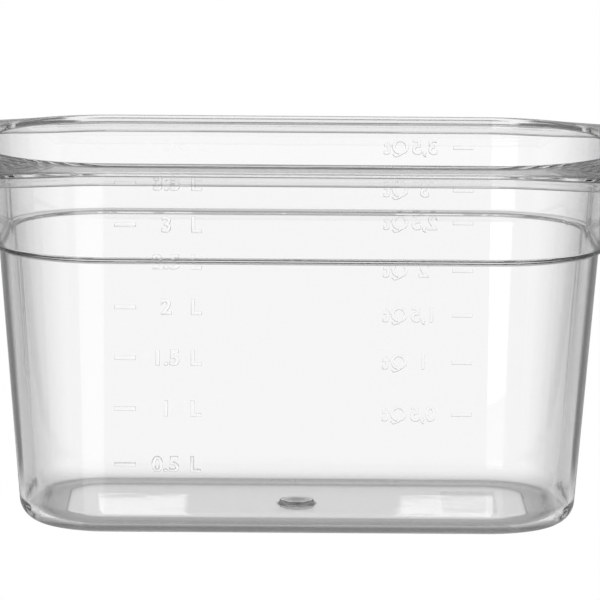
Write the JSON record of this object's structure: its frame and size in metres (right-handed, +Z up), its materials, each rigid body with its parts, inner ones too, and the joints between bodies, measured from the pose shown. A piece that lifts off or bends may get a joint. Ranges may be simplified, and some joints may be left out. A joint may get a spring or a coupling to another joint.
{
  "type": "gastronorm container",
  "caption": "Clear deep rectangular food container with drafted walls, a stacking ledge and a broad rim flange with a skirt, made to stand on its foot or hang by its rim.",
  "frame": {"origin": "middle of the footprint, on the plane of the foot the container stands on", "axes": "+X along the long side, towards the label; +Y towards the back long side; +Z up, out of the mouth"},
  "size_m": [0.265, 0.162, 0.15],
  "materials": {
    "clear_plastic": "clear, polished",
    "label_film": "satin film, bare"
  },
  "bodies": {
    "root": {"container_body": "clear_plastic", "base_label": "label_film"}
  },
  "joints": []
}
